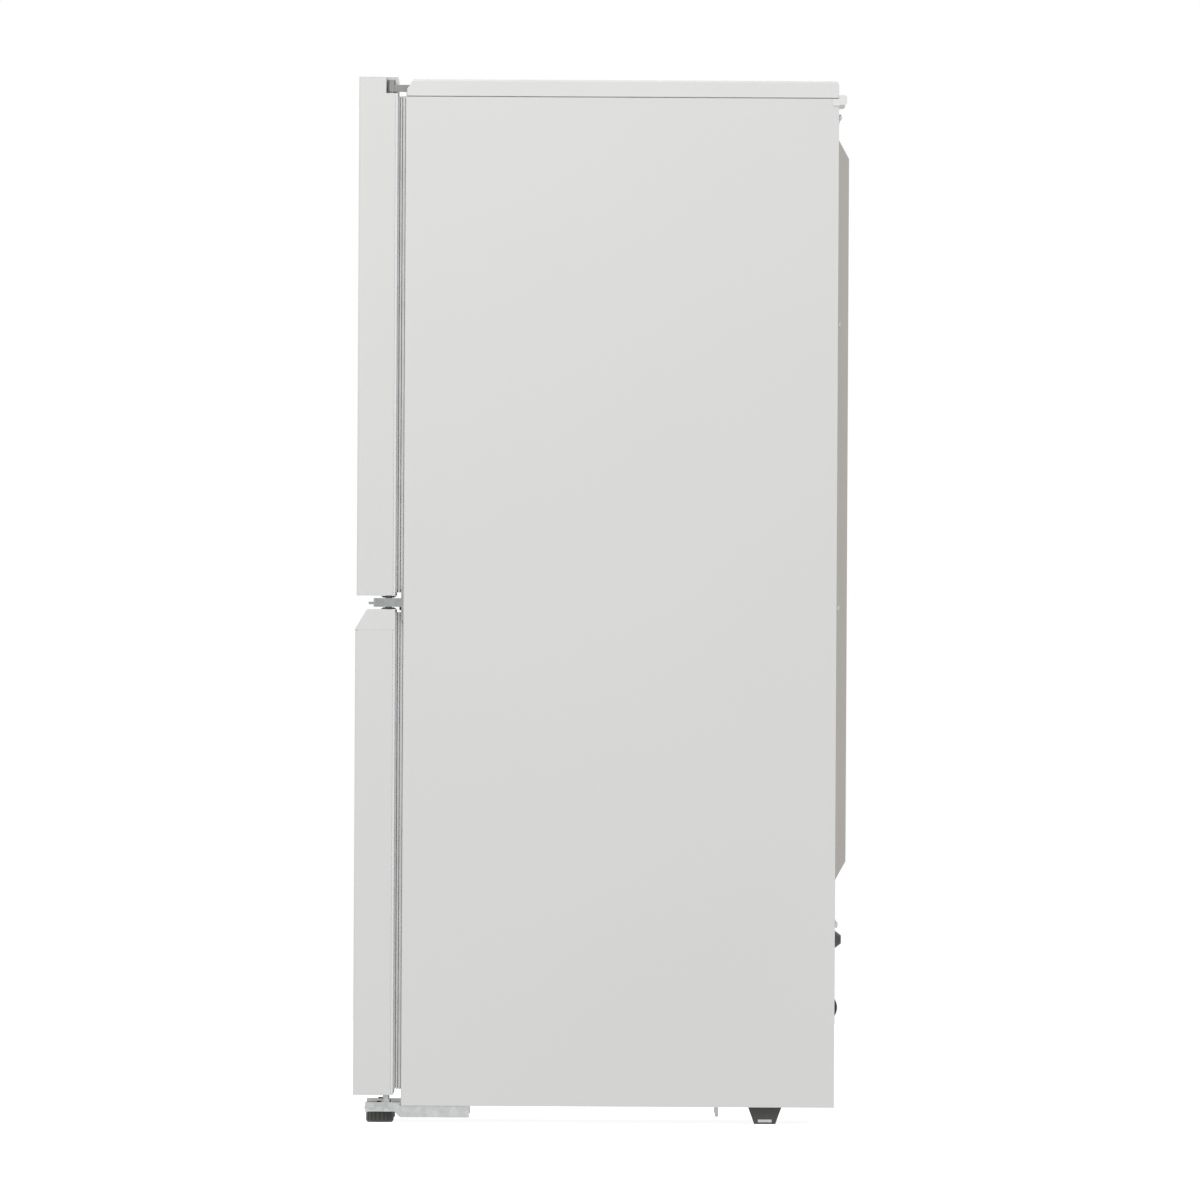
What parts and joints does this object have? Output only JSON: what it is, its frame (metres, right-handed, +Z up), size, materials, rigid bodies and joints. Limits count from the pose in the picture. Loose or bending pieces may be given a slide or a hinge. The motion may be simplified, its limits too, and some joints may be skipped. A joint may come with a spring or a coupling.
{
  "type": "top freezer refrigerator",
  "caption": "Upright two-door refrigerator with a freezer above the fresh food compartment, hinged doors, drawers and a rear machine bay.",
  "frame": {"origin": "on the floor, under the middle of the overall bounding box", "axes": "+Z up, -Y towards the doors, +X towards the hinge side"},
  "size_m": [0.5024, 0.59, 1.2545],
  "materials": {
    "white_steel": "satin",
    "white_plastic": "satin",
    "liner_plastic": "satin",
    "grey_back": "matte",
    "galvanised": "satin",
    "dark_bracket": "satin",
    "foam": "matte",
    "aluminium": "satin",
    "dark_plastic": "matte",
    "clear_plastic": "gloss",
    "coated_wire": "gloss",
    "soft_white_plastic": "satin",
    "shelf_glass": "gloss",
    "black_steel": "satin",
    "rubber": "matte",
    "seal_rubber": "matte",
    "copper": "satin"
  },
  "bodies": {
    "cabinet": {"cabinet_wrapper": "white_steel", "top_cover": "white_plastic", "back_panel": "grey_back", "mullion_bar": "white_steel", "front_rail": "white_steel", "base_plate": "galvanised", "compressor_bay_wall": "galvanised", "cabinet_foam": "foam", "freezer_liner": "liner_plastic", "fridge_liner": "liner_plastic", "evaporator_cover": "liner_plastic", "evaporator": "aluminium", "defrost_heater": "aluminium", "fan_motor": "dark_plastic", "drain_tube": "dark_plastic", "control_housing": "liner_plastic", "lamp_cover": "clear_plastic", "freezer_shelf": "coated_wire", "ice_tray": "soft_white_plastic", "glass_shelf": "shelf_glass", "crisper_cover": "shelf_glass", "compressor": "black_steel", "compressor_grommets": "rubber", "relay_cover": "dark_plastic", "evaporation_tray": "dark_plastic", "refrigerant_pipes": "copper", "filter_drier": "copper", "cord_gland": "dark_plastic", "top_hinge": "dark_bracket", "middle_hinge": "galvanised", "bottom_hinge": "galvanised", "rear_feet": "dark_plastic", "screws": "galvanised", "rear_spacers": "soft_white_plastic"},
    "upper_door": {"upper_door_skin": "white_steel", "upper_door_liner": "liner_plastic", "upper_door_foam": "foam", "upper_door_gasket": "seal_rubber", "upper_door_top_cap": "white_plastic", "upper_door_bottom_cap": "white_plastic", "upper_door_bushes": "soft_white_plastic", "upper_door_bins": "clear_plastic"},
    "lower_door": {"lower_door_skin": "white_steel", "lower_door_liner": "liner_plastic", "lower_door_foam": "foam", "lower_door_gasket": "seal_rubber", "lower_door_top_cap": "white_plastic", "lower_door_bottom_cap": "white_plastic", "lower_door_bushes": "soft_white_plastic", "lower_door_bins": "clear_plastic", "egg_tray": "soft_white_plastic"},
    "upper_freezer_drawer": {"freezer_drawer_upper": "clear_plastic"},
    "lower_freezer_drawer": {"freezer_drawer_lower": "clear_plastic"},
    "crisper": {"crisper_drawer": "clear_plastic"},
    "knob": {"temperature_knob": "soft_white_plastic"},
    "damper": {"damper_slider": "soft_white_plastic"},
    "switch_plunger": {"light_switch": "soft_white_plastic"},
    "fan": {"fan_blade": "dark_plastic"},
    "left_foot": {"front_foot_left": "dark_plastic"},
    "right_foot": {"front_foot_right": "dark_plastic"}
  },
  "joints": [
    {"name": "upper_door_hinge", "type": "hinge", "parent": "cabinet", "child": "upper_door", "pos_m": [0.241, -0.255, 0.94], "axis": [0, 0, 1], "range_deg": [0, 100]},
    {"name": "lower_door_hinge", "type": "hinge", "parent": "cabinet", "child": "lower_door", "pos_m": [0.241, -0.255, 0.32], "axis": [0, 0, 1], "range_deg": [0, 100]},
    {"name": "upper_freezer_drawer_slide", "type": "slide", "parent": "cabinet", "child": "upper_freezer_drawer", "axis": [0, -1, 0], "range_m": [0, 0.149]},
    {"name": "lower_freezer_drawer_slide", "type": "slide", "parent": "cabinet", "child": "lower_freezer_drawer", "axis": [0, -1, 0], "range_m": [0, 0.149]},
    {"name": "crisper_slide", "type": "slide", "parent": "cabinet", "child": "crisper", "axis": [0, -1, 0], "range_m": [0, 0.149]},
    {"name": "temperature_knob_turn", "type": "hinge", "parent": "cabinet", "child": "knob", "pos_m": [-0.07, -0.13, 0.573], "axis": [0, -1, 0], "range_deg": [-135, 135]},
    {"name": "damper_slide", "type": "slide", "parent": "cabinet", "child": "damper", "axis": [1, 0, 0], "range_m": [-0.03, 0.03]},
    {"name": "light_switch_travel", "type": "slide", "parent": "cabinet", "child": "switch_plunger", "axis": [0, -1, 0], "range_m": [0, 0.005]},
    {"name": "fan_spin", "type": "hinge", "parent": "cabinet", "child": "fan", "pos_m": [0, 0.172, 1.075], "axis": [0, -1, 0], "continuous": true},
    {"name": "left_foot_turn", "type": "hinge", "parent": "cabinet", "child": "left_foot", "pos_m": [-0.225, -0.2625, 0.01], "axis": [0, 0, 1], "continuous": true},
    {"name": "right_foot_turn", "type": "hinge", "parent": "cabinet", "child": "right_foot", "pos_m": [0.225, -0.2625, 0.01], "axis": [0, 0, 1], "continuous": true}
  ],
  "couplings": [
    {"joint": "upper_freezer_drawer_slide", "follows": "upper_door_hinge", "m_per_rad": 0.085},
    {"joint": "lower_freezer_drawer_slide", "follows": "upper_door_hinge", "m_per_rad": 0.085},
    {"joint": "crisper_slide", "follows": "lower_door_hinge", "m_per_rad": 0.085},
    {"joint": "light_switch_travel", "follows": "lower_door_hinge", "m_per_rad": 0.0028}
  ]
}
